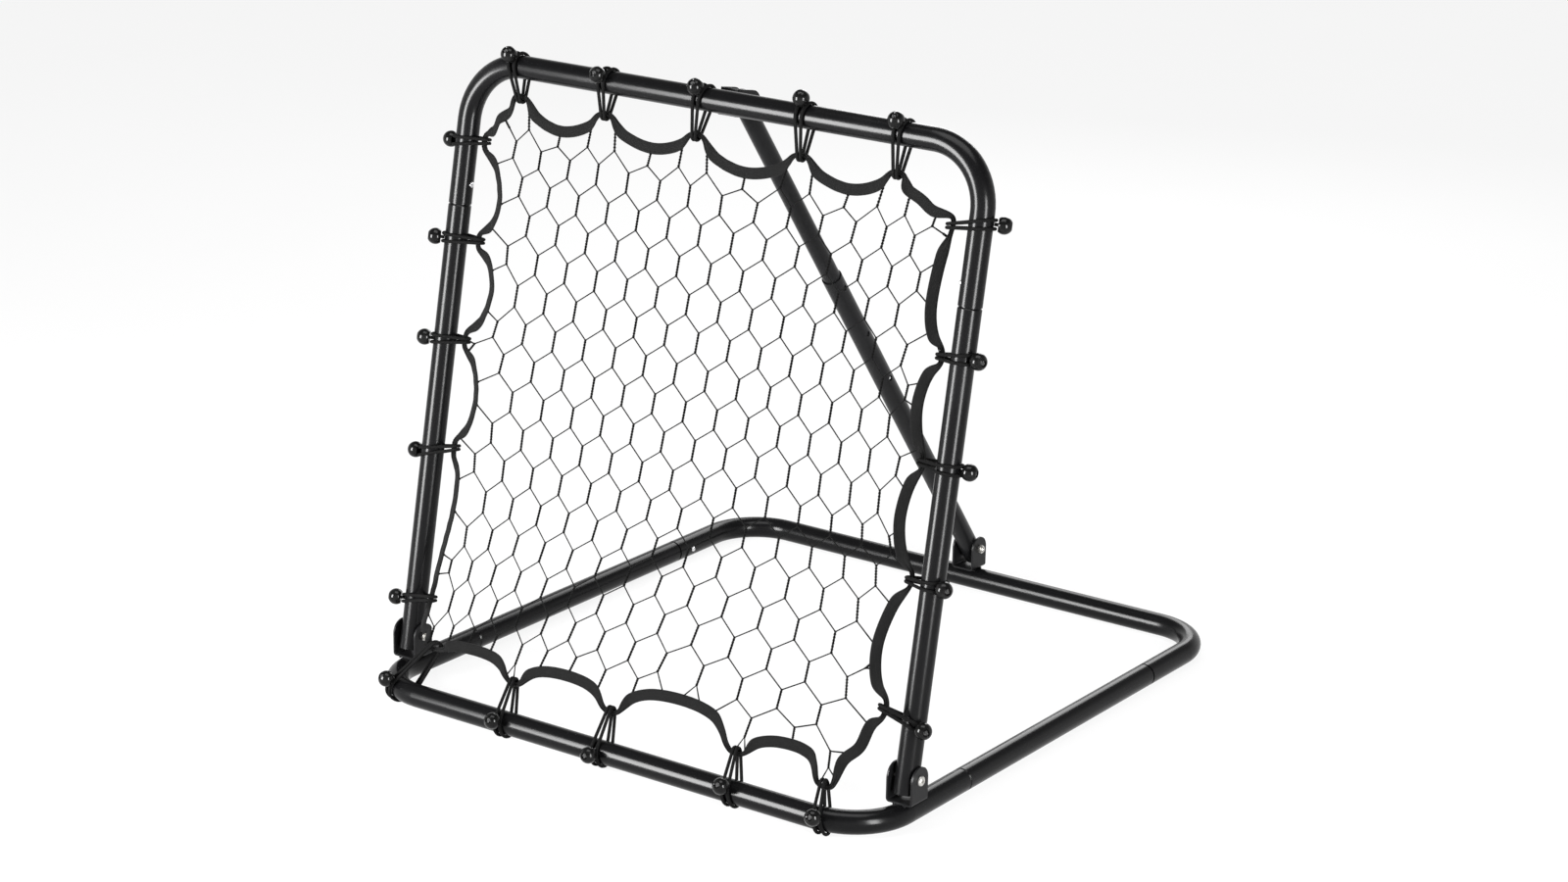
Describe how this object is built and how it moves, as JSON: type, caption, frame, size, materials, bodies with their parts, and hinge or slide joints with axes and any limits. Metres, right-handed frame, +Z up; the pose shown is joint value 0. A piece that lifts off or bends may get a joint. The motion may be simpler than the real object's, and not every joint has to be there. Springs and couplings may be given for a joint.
{
  "type": "rebound net",
  "caption": "Folding rebound net: a tube base on the ground, a leaning net frame held by elastic loops, and a telescopic brace that sets its angle",
  "frame": {"origin": "on the ground, under the middle of the whole", "axes": "+Z up, +X to the right of a player who faces the net, +Y away from the player"},
  "size_m": [1.0009, 1.0337, 0.986],
  "materials": {
    "powder_coat": "gloss",
    "zinc": "satin",
    "button_steel": "gloss",
    "spring_steel": "satin",
    "plug_plastic": "matte",
    "ball_plastic": "gloss",
    "elastic": "matte",
    "net_cord": "matte",
    "webbing": "matte"
  },
  "bodies": {
    "base": {"base_front_tube": "powder_coat", "base_rear_tube": "powder_coat", "base_side_tube_left": "powder_coat", "base_side_tube_right": "powder_coat", "hinge_bracket_left": "powder_coat", "hinge_bracket_right": "powder_coat", "brace_foot_bracket": "powder_coat", "hinge_bolts": "zinc", "hinge_nuts": "zinc", "foot_bolt": "zinc", "foot_nut": "zinc", "tie_cords_bottom": "elastic", "tie_balls_bottom": "ball_plastic", "spring_base_front_left": "spring_steel", "spring_base_front_right": "spring_steel", "spring_base_rear_left": "spring_steel", "spring_base_rear_right": "spring_steel"},
    "net_frame": {"frame_top_tube": "powder_coat", "frame_post_left": "powder_coat", "frame_post_right": "powder_coat", "post_end_plugs": "plug_plastic", "brace_head_bracket": "powder_coat", "head_bolt": "zinc", "head_nut": "zinc", "net_mesh": "net_cord", "net_strap": "webbing", "tie_cords_top": "elastic", "tie_cords_left": "elastic", "tie_cords_right": "elastic", "tie_balls_top": "ball_plastic", "tie_balls_left": "ball_plastic", "tie_balls_right": "ball_plastic", "spring_frame_left": "spring_steel", "spring_frame_right": "spring_steel"},
    "brace_lower": {"brace_lower_tube": "powder_coat", "brace_foot_plug": "plug_plastic"},
    "brace_upper": {"brace_upper_tube": "powder_coat", "brace_head_plug": "plug_plastic", "spring_brace": "spring_steel"},
    "button_base_front_left": {"button_base_front_left": "button_steel"},
    "button_base_front_right": {"button_base_front_right": "button_steel"},
    "button_base_rear_left": {"button_base_rear_left": "button_steel"},
    "button_base_rear_right": {"button_base_rear_right": "button_steel"},
    "button_frame_left": {"button_frame_left": "button_steel"},
    "button_frame_right": {"button_frame_right": "button_steel"},
    "button_brace": {"button_brace": "button_steel"}
  },
  "joints": [
    {"name": "frame_tilt", "type": "hinge", "parent": "base", "child": "net_frame", "pos_m": [0, -0.38072, 0.07422], "axis": [1, 0, 0], "range_deg": [-18.2, 18.2], "deforming": ["tie_cords_bottom"]},
    {"name": "brace_foot", "type": "hinge", "parent": "base", "child": "brace_lower", "pos_m": [0, 0.48967, 0.07002], "axis": [1, 0, 0], "range_deg": [-9.35, 9.35]},
    {"name": "brace_slide", "type": "slide", "parent": "brace_lower", "child": "brace_upper", "axis": [0, -0.6019, 0.7986], "range_m": [-0.22005, 0.22005]},
    {"name": "press_base_front_left", "type": "slide", "parent": "base", "child": "button_base_front_left", "axis": [-1, 0, 0], "range_m": [0, 0.0057], "stiffness_N_per_m": 300, "springref_m": -0.004, "deforming": ["spring_base_front_left"]},
    {"name": "press_base_front_right", "type": "slide", "parent": "base", "child": "button_base_front_right", "axis": [1, 0, 0], "range_m": [0, 0.0057], "stiffness_N_per_m": 300, "springref_m": -0.004, "deforming": ["spring_base_front_right"]},
    {"name": "press_base_rear_left", "type": "slide", "parent": "base", "child": "button_base_rear_left", "axis": [-1, 0, 0], "range_m": [0, 0.0057], "stiffness_N_per_m": 300, "springref_m": -0.004, "deforming": ["spring_base_rear_left"]},
    {"name": "press_base_rear_right", "type": "slide", "parent": "base", "child": "button_base_rear_right", "axis": [1, 0, 0], "range_m": [0, 0.0057], "stiffness_N_per_m": 300, "springref_m": -0.004, "deforming": ["spring_base_rear_right"]},
    {"name": "press_frame_left", "type": "slide", "parent": "net_frame", "child": "button_frame_left", "axis": [-1, 0, 0], "range_m": [0, 0.0057], "stiffness_N_per_m": 300, "springref_m": -0.004, "deforming": ["spring_frame_left"]},
    {"name": "press_frame_right", "type": "slide", "parent": "net_frame", "child": "button_frame_right", "axis": [1, 0, 0], "range_m": [0, 0.0057], "stiffness_N_per_m": 300, "springref_m": -0.004, "deforming": ["spring_frame_right"]},
    {"name": "press_brace", "type": "slide", "parent": "brace_upper", "child": "button_brace", "axis": [1, 0, 0], "range_m": [0, 0.0042], "stiffness_N_per_m": 300, "springref_m": 0.006, "deforming": ["spring_brace"]}
  ],
  "couplings": [
    {"joint": "brace_foot", "follows": "frame_tilt", "ratio": 0.5133},
    {"joint": "brace_slide", "follows": "frame_tilt", "m_per_rad": 0.69256}
  ]
}
